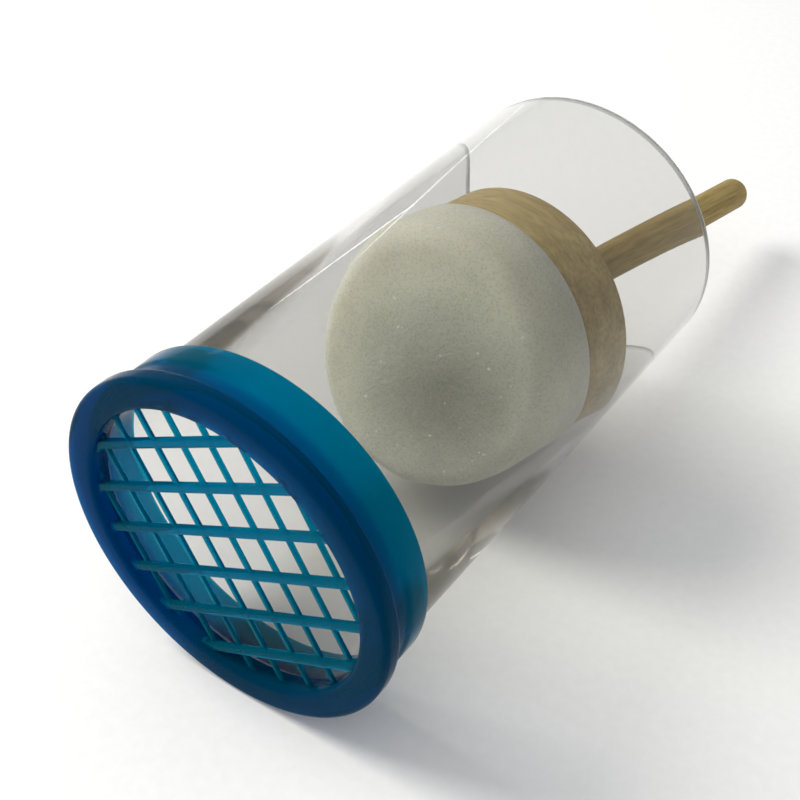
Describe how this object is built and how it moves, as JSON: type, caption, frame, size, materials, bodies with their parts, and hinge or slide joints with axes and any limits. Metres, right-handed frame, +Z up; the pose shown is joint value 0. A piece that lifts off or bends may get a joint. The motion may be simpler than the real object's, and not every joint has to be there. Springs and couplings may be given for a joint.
{
  "type": "queen cage",
  "caption": "Clear tube that holds a queen bee for marking, with a push-on grid cap at one end and a foam-faced wooden plunger sliding inside it.",
  "frame": {"origin": "middle of the footprint, on the surface that the cage lies on", "axes": "+Y along the tube from the grid cap to the handle, +Z up, +X to the right when facing the cap's grid"},
  "size_m": [0.044, 0.1192, 0.044],
  "materials": {
    "clear_plastic": "clear polished",
    "blue_plastic": "glossy, slightly see-through",
    "foam": "open-cell foam, matt",
    "glue": "dried adhesive",
    "disc_wood": "sawn, unfinished",
    "dowel_wood": "turned, unfinished"
  },
  "bodies": {
    "tube": {"clear_tube": "clear_plastic"},
    "cap": {"grid_cap": "blue_plastic"},
    "plunger": {"foam_pad": "foam", "glue_film": "glue", "wood_disc": "disc_wood", "handle_dowel": "dowel_wood"}
  },
  "joints": [
    {"name": "cap_pull", "type": "slide", "parent": "tube", "child": "cap", "axis": [0, -1, 0], "range_m": [0, 0.012]},
    {"name": "plunger_slide", "type": "slide", "parent": "tube", "child": "plunger", "axis": [0, 1, 0], "range_m": [-0.031, 0.048]}
  ]
}
